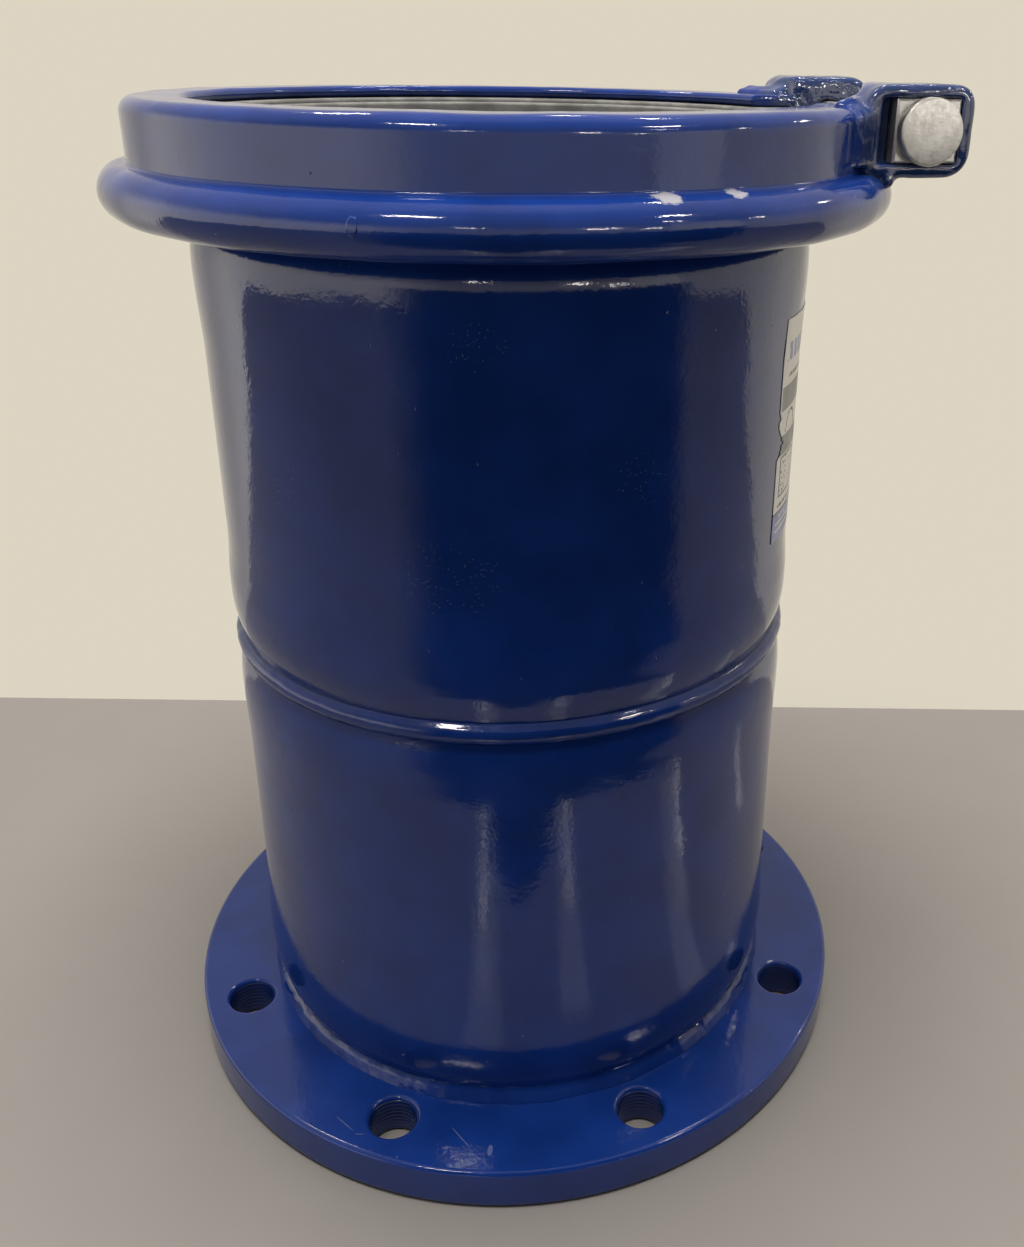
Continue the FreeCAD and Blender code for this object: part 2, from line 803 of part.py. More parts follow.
def make_label():
    """Thin label wrapped on the upper sleeve."""
    low = upper_start + s.label_low_margin
    high = upper_end + s.label_over_rim_ease
    lean = (rim_radius - upper_radius) * s.label_over_rim_ease / s.rim_ease
    inner = upper_radius + s.label_fit
    outer = inner + s.label_sheet
    angle = s.label_width / inner * FULL_TURN / (2 * math.pi)
    body = ring_body("label", [
        (inner, low),
        (outer, low),
        (outer, upper_end),
        (outer + lean, high),
        (inner + lean, high),
        (inner, upper_end),
    ], angle=angle)
    turn_about(body, FreeCAD.Vector(0, 0, 1), s.label_turn.number)
    body.setExpression("Placement.Rotation.Angle", s.label_turn.formula)
    return body


def write_parts(bodies):
    """Check every object and each piece's shape, then write one file for each piece."""
    doc.recompute()
    for item in doc.Objects:
        if "Invalid" in item.State or "Error" in item.State:
            raise RuntimeError(f"{item.Name} failed: {item.State}")
    for body in bodies:
        if body.Shape.isNull() or not body.Shape.isValid():
            raise RuntimeError(f"{body.Label} has no valid shape")
    for body in bodies:
        body.Shape.exportStep(f"parts/{body.Label}.step")
        box = body.Shape.BoundBox
        size = f"{box.XLength:.1f} x {box.YLength:.1f} x {box.ZLength:.1f}"
        print(f"{body.Label}: {body.Shape.Volume:.0f} mm3, {size}, {len(body.Shape.Solids)} solid")


write_parts([
    make_flange(),
    make_flange_outer_weld(),
    make_flange_inner_weld(),
    make_lower_sleeve(),
    make_seam_bead(),
    make_upper_sleeve(),
    make_gasket(),
    make_gasket_liner(),
    make_clamp_ring(),
    make_bridge_plate(),
    make_lug("head_lug", HEAD_SIDE),
    make_lug("nut_lug", NUT_SIDE),
    make_lug_weld("head_lug_weld", HEAD_SIDE),
    make_lug_weld("nut_lug_weld", NUT_SIDE),
    make_rocker_plate("head_plate", HEAD_SIDE, True),
    make_rocker_plate("nut_plate", NUT_SIDE, False),
    make_clamp_bolt(),
    make_nut_washer(),
    make_clamp_nut(),
    make_label(),
])
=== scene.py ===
"""Looks of a flange adapter: a drilled flange, a welded two-piece sleeve and a one-bolt clamp ring.

Lengths in this file are in millimetres and are turned into metres where a mesh is made.
The pipe's axis is Z, the ring's gap is centred on +X and the clamp bolt lies along Y.
"""

import math

import bpy
from mathutils import Matrix, Vector, noise


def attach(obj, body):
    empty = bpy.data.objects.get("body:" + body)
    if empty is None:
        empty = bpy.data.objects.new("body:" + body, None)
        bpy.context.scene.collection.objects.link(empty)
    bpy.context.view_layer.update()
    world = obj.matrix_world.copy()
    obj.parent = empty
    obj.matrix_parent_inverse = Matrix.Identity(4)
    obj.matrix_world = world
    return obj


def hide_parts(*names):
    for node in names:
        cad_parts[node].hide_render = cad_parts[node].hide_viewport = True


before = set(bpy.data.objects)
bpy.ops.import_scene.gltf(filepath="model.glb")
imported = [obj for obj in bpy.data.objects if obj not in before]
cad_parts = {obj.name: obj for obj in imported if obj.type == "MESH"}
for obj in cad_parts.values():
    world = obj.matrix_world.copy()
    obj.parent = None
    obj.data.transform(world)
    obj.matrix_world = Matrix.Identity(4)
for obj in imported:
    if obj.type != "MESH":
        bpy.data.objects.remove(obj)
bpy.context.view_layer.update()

MM = 0.001


# ---------------------------------------------------------------- outlines

def rounded(corners, spacing=0.8):
    """Outline through corners of (radius from the axis, height, rounding)."""
    points = []
    for index, (across, up, rounding) in enumerate(corners):
        here = Vector((across, up))
        if not rounding:
            points.append(here)
            continue
        back = (Vector(corners[index - 1][:2]) - here).normalized()
        ahead = (Vector(corners[(index + 1) % len(corners)][:2]) - here).normalized()
        half = back.angle(ahead) / 2
        centre = here + (back + ahead).normalized() * rounding / math.sin(half)
        start = here + back * rounding / math.tan(half) - centre
        turn = start.angle_signed(here + ahead * rounding / math.tan(half) - centre)
        steps = max(2, math.ceil(abs(turn) * rounding / spacing))
        for step in range(steps + 1):
            points.append(centre + Matrix.Rotation(-turn * step / steps, 2) @ start)
    return points


def flowing(keys, spacing=2.0):
    """Smooth line through (height, radius) keys that never swings past them, as (radius, height) points."""
    slopes = []
    for index in range(len(keys)):
        if index in (0, len(keys) - 1):
            slopes.append(0.0)
            continue
        low = (keys[index][1] - keys[index - 1][1]) / (keys[index][0] - keys[index - 1][0])
        high = (keys[index + 1][1] - keys[index][1]) / (keys[index + 1][0] - keys[index][0])
        slopes.append(2 * low * high / (low + high) if low * high > 0 else 0.0)
    points = []
    for index in range(len(keys) - 1):
        low, start = keys[index]
        high, end = keys[index + 1]
        rise = high - low
        steps = max(1, round(rise / spacing))
        for step in range(steps):
            t = step / steps
            radius = (2 * t ** 3 - 3 * t ** 2 + 1) * start + (3 * t ** 2 - 2 * t ** 3) * end
            radius += ((t ** 3 - 2 * t ** 2 + t) * slopes[index] + (t ** 3 - t ** 2) * slopes[index + 1]) * rise
            points.append(Vector((radius, low + rise * t)))
    points.append(Vector((keys[-1][1], keys[-1][0])))
    return points


# ---------------------------------------------------------------- modelling

def deselect():
    if bpy.context.mode != "OBJECT":
        bpy.ops.object.mode_set(mode="OBJECT")
    bpy.ops.object.select_all(action="DESELECT")


def pick(piece):
    deselect()
    piece.select_set(True)
    bpy.context.view_layer.objects.active = piece


def settle(piece):
    """Put the object at the origin, with its place in its mesh."""
    pick(piece)
    bpy.ops.object.transform_apply(location=True, rotation=True, scale=True)
    return piece


def choose(piece, kind, test):
    """Select the vertices, edges or faces that pass a test, and go into edit mode."""
    pick(piece)
    bpy.ops.object.mode_set(mode="EDIT")
    bpy.ops.mesh.select_mode(type=kind)
    bpy.ops.mesh.select_all(action="DESELECT")
    bpy.ops.object.mode_set(mode="OBJECT")
    mesh = piece.data
    items = {"VERT": mesh.vertices, "EDGE": mesh.edges, "FACE": mesh.polygons}[kind]
    for item in items:
        item.select = test(item)
    bpy.ops.object.mode_set(mode="EDIT")


def along_edge(piece, test):
    """Test for an edge that both of its ends pass."""
    corners = piece.data.vertices
    return lambda edge: all(test(corners[index].co / MM) for index in edge.vertices)


def shape_with(piece, kind, **settings):
    """Add a modifier, set it and apply it."""
    pick(piece)
    modifier = piece.modifiers.new(kind.lower(), kind)
    for name, value in settings.items():
        setattr(modifier, name, value)
    bpy.ops.object.modifier_apply(modifier=modifier.name)
    return piece


def cut(piece, tool, operation="DIFFERENCE"):
    """Cut a piece with a tool, or join the two, and throw the tool away."""
    shape_with(piece, "BOOLEAN", object=tool, operation=operation, solver="EXACT")
    bpy.data.objects.remove(tool)
    return piece


def closed_up(piece):
    """Merge doubles, drop faces without area, fill open ends and turn every face outwards."""
    pick(piece)
    bpy.ops.object.mode_set(mode="EDIT")
    bpy.ops.mesh.select_mode(type="VERT")
    bpy.ops.mesh.select_all(action="SELECT")
    bpy.ops.mesh.remove_doubles(threshold=0.01 * MM)
    bpy.ops.mesh.dissolve_degenerate(threshold=0.001 * MM)
    bpy.ops.mesh.fill_holes(sides=0)
    bpy.ops.mesh.select_all(action="SELECT")
    bpy.ops.mesh.normals_make_consistent(inside=False)
    bpy.ops.object.mode_set(mode="OBJECT")
    return piece


def only_largest(piece):
    """Keep the largest of a mesh's loose shells, so that no crumb stays beside it."""
    pick(piece)
    bpy.ops.mesh.separate(type="LOOSE")
    shells = list(bpy.context.selected_objects)
    largest = max(shells, key=lambda shell: len(shell.data.polygons))
    for shell in shells:
        if shell != largest:
            bpy.data.objects.remove(shell)
    return largest


def smooth(piece, angle=None, weighted=False):
    pick(piece)
    if angle is None:
        bpy.ops.object.shade_smooth()
    else:
        bpy.ops.object.shade_smooth_by_angle(angle=math.radians(angle))
    if weighted:
        shape_with(piece, "WEIGHTED_NORMAL", keep_sharp=True, weight=80)
    return piece


def drawn(name, points):
    """Closed line through points, drawn one by one and left selected in edit mode."""
    deselect()
    bpy.ops.mesh.primitive_plane_add(size=MM, location=Vector(points[0]) * MM)
    piece = bpy.context.object
    piece.name = name
    bpy.ops.object.mode_set(mode="EDIT")
    bpy.ops.mesh.select_mode(type="VERT")
    bpy.ops.mesh.merge(type="CENTER")
    for here, there in zip(points, points[1:] + points[:1]):
        step = (Vector(there) - Vector(here)) * MM
        bpy.ops.mesh.extrude_vertices_move(TRANSFORM_OT_translate={"value": step})
    bpy.ops.mesh.select_all(action="SELECT")
    bpy.ops.mesh.remove_doubles(threshold=0.01 * MM)
    return piece


def turned(name, outline, steps=256):
    """Draw a closed outline and spin it about the pipe's axis."""
    piece = drawn(name, [(point[0], 0, point[1]) for point in outline])
    bpy.ops.mesh.spin(steps=steps, angle=math.tau, center=(0, 0, 0), axis=(0, 0, 1))
    bpy.ops.mesh.select_all(action="SELECT")
    bpy.ops.mesh.remove_doubles(threshold=0.01 * MM)
    bpy.ops.mesh.normals_make_consistent(inside=False)
    bpy.ops.object.mode_set(mode="OBJECT")
    return settle(piece)


def block(name, low, high):
    """Box between two corners, to be shaped further."""
    deselect()
    centre = [(a + b) / 2 * MM for a, b in zip(low, high)]
    bpy.ops.mesh.primitive_cube_add(size=1, location=centre)
    piece = bpy.context.object
    piece.name = name
    bpy.ops.object.mode_set(mode="EDIT")
    size = [(b - a) * MM for a, b in zip(low, high)]
    bpy.ops.transform.resize(value=size)
    bpy.ops.object.mode_set(mode="OBJECT")
    return settle(piece)


def rod(name, start, end, radius, vertices=64, taper=0.0):
    """Round bar between two points."""
    deselect()
    along = Vector(end) - Vector(start)
    centre = (Vector(start) + Vector(end)) / 2 * MM
    turn = along.to_track_quat("Z", "Y").to_euler()
    bpy.ops.mesh.primitive_cone_add(vertices=vertices, radius1=radius * MM, radius2=(radius - taper) * MM,
                                    depth=along.length * MM, location=centre, rotation=turn)
    piece = bpy.context.object
    piece.name = name
    return settle(piece)


def lump(name, centre, size, segments=20):
    """Soft drop of weld."""
    deselect()
    bpy.ops.mesh.primitive_ico_sphere_add(subdivisions=3, radius=MM, location=Vector(centre) * MM)
    piece = bpy.context.object
    piece.name = name
    bpy.ops.object.mode_set(mode="EDIT")
    bpy.ops.transform.resize(value=size)
    bpy.ops.object.mode_set(mode="OBJECT")
    return settle(piece)


def join(name, pieces):
    deselect()
    for piece in pieces:
        piece.select_set(True)
    bpy.context.view_layer.objects.active = pieces[0]
    bpy.ops.object.join()
    piece = bpy.context.object
    piece.name = name
    return piece


def melted(piece, voxel, rounds=6):
    """Run all of a piece's forms together, as thick coat does."""
    shape_with(piece, "REMESH", mode="VOXEL", voxel_size=voxel * MM, adaptivity=0.0)
    shape_with(piece, "SMOOTH", factor=0.5, iterations=rounds)
    return smooth(piece)


def moved(piece, rule):
    """Move each vertex by what the rule gives for its place and normal, in millimetres."""
    mesh = piece.data
    places = [vertex.co / MM for vertex in mesh.vertices]
    normals = [normal.vector.copy() for normal in mesh.vertex_normals]
    flat = []
    for place, normal in zip(places, normals):
        flat.extend((place + rule(place, normal)) * MM)
    mesh.vertices.foreach_set("co", flat)
    mesh.update()
    return piece


def dent(piece, amount, grain, stretch=1.0, seed=0.0):
    """Move a surface in and out by up to an amount, in soft patches of the given size."""
    shift = Vector((seed, seed * 1.7, seed * 0.6))
    squeeze = Vector((1 / grain, 1 / grain, 1 / grain / stretch))
    return moved(piece, lambda place, normal: normal * noise.noise(place * squeeze + shift) * amount)


def from_cad(name, node, bevel, steps=3):
    """Copy a CAD piece whose form is right, clean its mesh and soften its edges."""
    pick(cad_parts[node])
    bpy.ops.object.duplicate()
    piece = bpy.context.object
    for key in list(piece.keys()):
        del piece[key]
    piece.parent = None
    piece.name = name
    bpy.ops.object.mode_set(mode="EDIT")
    bpy.ops.mesh.select_all(action="SELECT")
    bpy.ops.mesh.remove_doubles(threshold=0.005 * MM)
    bpy.ops.mesh.dissolve_limited(angle_limit=math.radians(1))
    bpy.ops.object.mode_set(mode="OBJECT")
    shape_with(piece, "BEVEL", width=bevel * MM, segments=steps, limit_method="ANGLE", angle_limit=math.radians(35))
    return smooth(piece, 40, weighted=True)


def finish_as(piece, material, body, *nodes, slot=None):
    """Give a piece its finish, its body and the CAD nodes that it stands for."""
    piece.data.materials.clear()
    piece.data.materials.append(material)
    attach(piece, body)
    if nodes:
        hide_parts(*nodes)
    return piece


# ---------------------------------------------------------------- finishes

def new_finish(name, **settings):
    """Node material with its shader's even values set on the shader's own sockets."""
    material = bpy.data.materials.new(name)
    material.use_nodes = True
    shader = material.node_tree.nodes["Principled BSDF"]
    for socket, value in settings.items():
        shader.inputs[socket.replace("_", " ")].default_value = value
    return material


def node(material, kind, inputs=None, **settings):
    """Add a node, set it up and link or fill its inputs, named or numbered."""
    tree = material.node_tree
    made = tree.nodes.new("ShaderNode" + kind)
    for name, value in settings.items():
        setattr(made, name, value)
    for socket, value in (inputs or {}).items():
        if isinstance(value, bpy.types.NodeSocket):
            tree.links.new(value, made.inputs[socket])
        else:
            made.inputs[socket].default_value = value
    return made


def place_on_piece(material):
    return node(material, "TexCoord").outputs["Object"]


def noise_at(material, place, size, detail=2.0, rough=0.5):
    """Cloudy pattern whose patches are about the given size."""
    made = node(material, "TexNoise", {"Vector": place, "Scale": 1 / (size * MM), "Detail": detail, "Roughness": rough})
    return made.outputs["Fac"]


def ramp(material, value, low, high, start=0.0, end=1.0):
    """Blend from one number to another as a value goes from low to high."""
    made = node(material, "MapRange", {"Value": value, "From Min": low, "From Max": high, "To Min": start, "To Max": end},
                interpolation_type="SMOOTHSTEP")
    return made.outputs["Result"]


def math_of(material, kind, first, second=0.0):
    return node(material, "Math", {0: first, 1: second}, operation=kind).outputs["Value"]


def mixed(material, share, first, second):
    made = node(material, "Mix", {"Factor": share, 6: first, 7: second}, data_type="RGBA")
    return made.outputs[2]


def patches(material, place, spots, ragged=0.0):
    """One inside any of the given ellipsoids (centre, half sizes, turn about Z), with a ragged edge."""
    nearest = None
    for centre, sizes, turn in spots:
        away = node(material, "VectorMath", {0: place, 1: Vector(centre) * MM}, operation="SUBTRACT").outputs[0]
        if turn:
            away = node(material, "VectorRotate", {"Vector": away, "Angle": math.radians(-turn)},
                        rotation_type="Z_AXIS").outputs[0]
        away = node(material, "VectorMath", {0: away, 1: [1 / (size * MM) for size in sizes]}, operation="MULTIPLY").outputs[0]
        away = node(material, "VectorMath", {0: away}, operation="LENGTH").outputs["Value"]
        nearest = away if nearest is None else math_of(material, "MINIMUM", nearest, away)
    if ragged:
        nearest = node(material, "Math", {0: noise_at(material, place, 2.2, 5, 0.7), 1: ragged, 2: nearest},
                       operation="MULTIPLY_ADD").outputs["Value"]
    return ramp(material, nearest, 0.75 + ragged * 0.5, 1.0 + ragged * 0.5, 1.0, 0.0)


def surface(material, colour, rough, height, depth):
    """Link a finish's colour, gloss and relief to its shader."""
    shader = material.node_tree.nodes["Principled BSDF"]
    links = material.node_tree.links
    links.new(colour, shader.inputs["Base Color"])
    links.new(rough, shader.inputs["Roughness"])
    relief = node(material, "Bump", {"Height": height, "Strength": 1.0, "Distance": depth * MM})
    links.new(relief.outputs["Normal"], shader.inputs["Normal"])


RUBBED = [((41, -149.5, 427.9), (6.2, 6.2, 2.8), 0), ((66.7, -139.9, 427.8), (4.8, 4.8, 3.0), 0),
          ((29.7, -152.1, 431.2), (0.8, 2.0, 0.7), 0), ((29.7, -152.1, 428.6), (0.8, 2.0, 0.7), 0)]
SCRATCHED = [((-91.3, -132.8, 21.1), (7.2, 0.25, 2), -48.7), ((-39.3, -148, 21.1), (8.8, 0.25, 2), -58.2),
             ((-84.5, -139.5, 21.1), (2.6, 0.25, 2), -10), ((-26.7, -156.6, 21.1), (1.3, 3.4, 2), -10)]
SPECKLED = [((-32.8, -127.5, 287.8), (24, 24, 19), 0), ((-19, -130.3, 375.9), (14, 20, 12), 0),
            ((39.6, -125.6, 324.2), (15, 20, 13), 0), ((-98.2, -87.8, 316.4), (17, 17, 18), 0),
            ((-65, -114.6, 407.8), (12, 12, 9), 0)]
LUMPY = [((134, -82, 450), (9, 9, 10), 0), ((140, -80, 428), (9, 9, 5), 0), ((151, 46, 452), (22, 6, 10), 0),
         ((134, 84, 446), (10, 12, 16), 0), ((152, -76, 461), (20, 4, 3), 0), ((158, -76, 429), (16, 4, 3), 0)]
# Spots round the lugs where the coat's colour is painted greyer, a painted reflection of the grey room, and its gloss
# is raised.
PAINTED_REFLECTION_AT_LUGS = [((157, -74, 444), (34, 24, 28), 0), ((157, 62, 446), (34, 34, 28), 0)]
BLISTER = [((-58.6, -153.5, 420.6), (2.0, 4.5, 3.4), -20)]


def make_blue_coat(name, deep, bright):
    """Thick glossy epoxy: a faint orange peel, pinholes, dust and a few scuffs."""
    coat = new_finish(name, IOR=1.5)
    place = place_on_piece(coat)
    cloud = noise_at(coat, place, 28, 3)
    colour = mixed(coat, ramp(coat, cloud, 0.3, 0.7), deep, bright)
    # Painted reflection: near the lugs the colour is painted greyer, and the specular level is raised.
    painted_reflection_and_gloss = patches(coat, place, PAINTED_REFLECTION_AT_LUGS)
    colour = mixed(coat, math_of(coat, "MULTIPLY", painted_reflection_and_gloss, 0.85), colour, (0.010, 0.025, 0.088, 1))
    shine = math_of(coat, "ADD", 0.5, math_of(coat, "MULTIPLY", painted_reflection_and_gloss, 0.45))
    coat.node_tree.links.new(shine, coat.node_tree.nodes["Principled BSDF"].inputs["Specular IOR Level"])
    cells = node(coat, "TexVoronoi", {"Vector": place, "Scale": 1 / (7 * MM)}, feature="F1")
    chance = node(coat, "SeparateColor", {"Color": cells.outputs["Color"]})
    pit = math_of(coat, "MULTIPLY", ramp(coat, cells.outputs["Distance"], 0.03, 0.09, 1.0, 0.0),
                  math_of(coat, "GREATER_THAN", chance.outputs["Red"], 0.86))
    dust = math_of(coat, "MULTIPLY", ramp(coat, cells.outputs["Distance"], 0.02, 0.07, 1.0, 0.0),
                   math_of(coat, "GREATER_THAN", chance.outputs["Green"], 0.93))
    grains = node(coat, "TexVoronoi", {"Vector": place, "Scale": 1 / (1.0 * MM)}, feature="F1")
    luck = node(coat, "SeparateColor", {"Color": grains.outputs["Color"]})
    speck = math_of(coat, "MULTIPLY", ramp(coat, grains.outputs["Distance"], 0.10, 0.34, 1.0, 0.0),
                    math_of(coat, "GREATER_THAN", math_of(coat, "MULTIPLY", luck.outputs["Red"],
                                                          patches(coat, place, SPECKLED, 1.1)), 0.76))
    rubbed = patches(coat, place, RUBBED, 0.9)
    colour = mixed(coat, math_of(coat, "MULTIPLY", dust, 0.5), colour, (0.30, 0.34, 0.42, 1))
    colour = mixed(coat, math_of(coat, "MULTIPLY", speck, 0.32), colour, (0.24, 0.32, 0.30, 1))
    colour = mixed(coat, math_of(coat, "MULTIPLY", rubbed, 0.72), colour, (0.33, 0.32, 0.33, 1))
    scratched = patches(coat, place, SCRATCHED, 0.5)
    colour = mixed(coat, math_of(coat, "MULTIPLY", scratched, 0.20), colour, (0.30, 0.33, 0.40, 1))
    rough = ramp(coat, noise_at(coat, place, 9, 3), 0.25, 0.75, 0.07, 0.13)
    rough = math_of(coat, "ADD", rough, math_of(coat, "MULTIPLY", rubbed, 0.4))
    peel = math_of(coat, "ADD", math_of(coat, "MULTIPLY", noise_at(coat, place, 3.0, 2), 1.9),
                   math_of(coat, "MULTIPLY", noise_at(coat, place, 13, 1), 4.0))
    peel = math_of(coat, "ADD", peel, math_of(coat, "MULTIPLY", noise_at(coat, place, 1.6, 1), 1.2))
    height = math_of(coat, "SUBTRACT", peel, math_of(coat, "MULTIPLY", pit, 6.0))
    height = math_of(coat, "ADD", height, math_of(coat, "MULTIPLY", patches(coat, place, BLISTER), 14.0))
    lumps = math_of(coat, "MULTIPLY", patches(coat, place, LUMPY, 0.6), noise_at(coat, place, 3.0, 1))
    height = math_of(coat, "ADD", height, math_of(coat, "MULTIPLY", lumps, 8.0))
    height = math_of(coat, "SUBTRACT", height, math_of(coat, "MULTIPLY", rubbed, 2.0))
    surface(coat, colour, rough, height, 0.030)
    return coat


def make_rubber():
    """Dull grey rubber with fine moulding lines and dusty patches."""
    rubber = new_finish("gasket_rubber")
    place = place_on_piece(rubber)
    colour = mixed(rubber, ramp(rubber, noise_at(rubber, place, 14, 4, 0.6), 0.35, 0.65),
                   (0.085, 0.085, 0.084, 1), (0.15, 0.148, 0.144, 1))
    rough = ramp(rubber, noise_at(rubber, place, 6, 3), 0.3, 0.7, 0.42, 0.62)
    surface(rubber, colour, rough, noise_at(rubber, place, 1.5, 4), 0.05)
    return rubber


def make_zinc():
    """Bright zinc plate, a little cloudy, with fine scratches and duller stains."""
    zinc = new_finish("zinc_plate", Metallic=1.0)
    place = place_on_piece(zinc)
    cloud = ramp(zinc, noise_at(zinc, place, 5, 5, 0.6), 0.35, 0.68)
    colour = mixed(zinc, cloud, (0.54, 0.52, 0.505, 1), (0.65, 0.635, 0.62, 1))
    stain = ramp(zinc, noise_at(zinc, place, 9, 4, 0.65), 0.62, 0.75)
    colour = mixed(zinc, math_of(zinc, "MULTIPLY", stain, 0.6), colour, (0.55, 0.52, 0.48, 1))
    rough = ramp(zinc, noise_at(zinc, place, 2.2, 5, 0.7), 0.3, 0.7, 0.34, 0.52)
    surface(zinc, colour, rough, noise_at(zinc, place, 0.9, 5, 0.6), 0.05)
    return zinc


def make_paper(name, colour, spread):
    """Coated label paper with a trace of print grain."""
    paper = new_finish(name)
    place = place_on_piece(paper)
    tone = mixed(paper, noise_at(paper, place, 2.5, 4, 0.6), colour, tuple(c * spread for c in colour[:3]) + (1,))
    rough = ramp(paper, noise_at(paper, place, 8, 2), 0.3, 0.7, 0.34, 0.46)
    surface(paper, tone, rough, noise_at(paper, place, 0.8, 2), 0.01)
    return paper


blue_coat = make_blue_coat("blue_coat", (0.0034, 0.0182, 0.116, 1), (0.0049, 0.0245, 0.153, 1))
gasket_rubber = make_rubber()
zinc_plate = make_zinc()
label_white = make_paper("label_white", (0.78, 0.76, 0.73, 1), 0.92)
label_grey = make_paper("label_grey", (0.24, 0.25, 0.24, 1), 0.85)
label_violet = make_paper("label_violet", (0.26, 0.28, 0.52, 1), 0.85)
label_dark = make_paper("label_dark", (0.06, 0.06, 0.07, 1), 0.85)


# ---------------------------------------------------------------- sleeves and seam

SHEET = 5.5


def sleeve(name, outside, ends):
    """Rolled sleeve between its outside line and a wall's thickness further in."""
    inside = [Vector((point.x - SHEET, point.y)) for point in reversed(outside)]
    piece = turned(name, outside + ends + inside, 288)
    dent(piece, 0.10, 30, 3.0)
    dent(piece, 0.03, 9, 1.5, seed=4)
    return smooth(piece, 50)


lower_line = flowing([(6, 129.5), (22, 129.5), (28, 129.96), (34, 131.65), (40, 132.85), (46, 133.55), (52, 133.75),
                      (58, 133.6), (70, 133.0), (85, 132.55), (100, 132.4), (165, 132.4), (178, 132.65), (190, 133.0),
                      (197, 133.0), (204, 132.6), (210, 131.7), (214.6, 130.5)])
finish_as(sleeve("lower_sleeve_skin", lower_line, []), blue_coat, "adapter", "lower_sleeve", slot="blue_coat")


def arc(centre, radius, first, last, spacing=0.8):
    """Points on an arc, from the first to the last angle in degrees."""
    steps = max(2, math.ceil(abs(math.radians(last - first)) * radius / spacing))
    points = []
    for step in range(steps + 1):
        angle = math.radians(first + (last - first) * step / steps)
        points.append(Vector((centre[0] + radius * math.cos(angle), centre[1] + radius * math.sin(angle))))
    return points


def v(*numbers):
    return Vector(numbers)


upper_line = flowing([(224.5, 129.8), (231, 131.6), (238, 132.75), (243, 133.0), (251, 132.95), (258, 132.5),
                      (265, 132.0), (275, 131.75), (355, 131.7), (367, 132.2), (378, 132.7), (388, 132.95),
                      (396, 132.7), (401, 131.6), (406.8, 129.0)])
flare_out = arc((139, 406.8), 10, 180, 90) + [v(155, 416.8)]
flare_in = [v(155, 422.3)] + arc((139, 406.8), 15.5, 90, 180)
inner_line = [v(point.x - SHEET, point.y) for point in reversed(upper_line[:-1])]
upper = turned("upper_sleeve_skin", upper_line[:-1] + flare_out + flare_in + inner_line, 288)
dent(upper, 0.10, 30, 3.0, seed=2)
dent(upper, 0.03, 9, 1.5, seed=6)
finish_as(smooth(upper, 50), blue_coat, "adapter", "upper_sleeve", slot="blue_coat")

seam = turned("seam_bead_skin", [v(125.2, 214.7), v(130.4, 214.7), v(130.9, 215.1)] + arc((128.6, 219.4), 4.5, -42, 46)
              + [v(130.6, 223.6), v(130.0, 224.4), v(124.5, 224.4)], 360)
dent(seam, 0.25, 6, 1.0, seed=3)
finish_as(smooth(seam, 60), blue_coat, "adapter", "seam_bead", slot="blue_coat")


# ---------------------------------------------------------------- flange and its welds

FLANGE_RADIUS = 171.44
FLANGE_TOP = 21.1
HOLE_CIRCLE = 149.225
HOLE_TURN = 17.16

flange = turned("flange_plate", rounded([(129.8, 0, 0.6), (FLANGE_RADIUS, 0, 3), (FLANGE_RADIUS, FLANGE_TOP, 2.4),
                                         (129.8, FLANGE_TOP, 0.4)]), 320)
wall = [v(11.1 + 0.14 * math.sin(level * 2.9), level) for level in [2.2 + 0.35 * step for step in range(49)]]
spool_line = [v(0, -2), v(13.4, -2), v(13.2, -0.1)] + arc((13.1, 2.0), 2.0, 262, 180, 0.35) + wall
spool_line += arc((13.1, 19.1), 2.0, 180, 98, 0.35) + [v(13.2, 21.2), v(13.4, 23), v(0, 23)]
spools = []
for index in range(8):
    spool = turned("spool", spool_line, 56)
    angle = math.radians(HOLE_TURN + 45 * index)
    spool.location = (HOLE_CIRCLE * math.cos(angle) * MM, HOLE_CIRCLE * math.sin(angle) * MM, 0)
    spools.append(settle(spool))
cut(flange, join("spools", spools))
finish_as(smooth(flange, 45, weighted=True), blue_coat, "adapter", "flange", slot="blue_coat")


def rippled(piece, pitch, amount, wander, seed):
    """Give a turned weld its run of ripples and an uneven toe."""
    def shift(place, normal):
        reach = place.to_2d().length
        angle = math.atan2(place.y, place.x)
        around = v(math.cos(angle), math.sin(angle), 0)
        drift = noise.noise(around * 9 + v(seed, 0, 0))
        wave = math.sin(angle * reach / pitch * math.tau + drift * 9)
        slow = noise.noise(around * 14 + v(0, seed, place.z / 30))
        rise = 0.5 if place.z > FLANGE_TOP + 0.5 else 0.0
        return (around + v(0, 0, rise)) * (amount * wave + wander * slow)

    return moved(piece, shift)


outer_weld = turned("flange_outer_weld_skin", rounded([(129.0, 20.9, 0), (133.7, 20.9, 0.2), (133.3, 21.8, 0.6),
                                                       (131.8, 25.6, 2.0), (129.9, 28.3, 0.5), (129.0, 28.3, 0)], 0.6), 1100)
rippled(outer_weld, 6.5, 0.05, 0.65, 5)
dent(outer_weld, 0.14, 4.5, 1.0, seed=21)
finish_as(smooth(outer_weld, 70), blue_coat, "adapter", "flange_outer_weld", slot="blue_coat")
inner_weld = turned("flange_inner_weld_skin", rounded([(129.8, 1.2, 0), (129.8, 6.2, 0), (124.7, 6.2, 0.4),
                                                       (127.6, 3.4, 1.5)], 0.6), 1100)
rippled(inner_weld, 4.8, 0.14, 0.25, 8)
finish_as(smooth(inner_weld, 70), blue_coat, "adapter", "flange_inner_weld", slot="blue_coat")


# ---------------------------------------------------------------- clamp ring

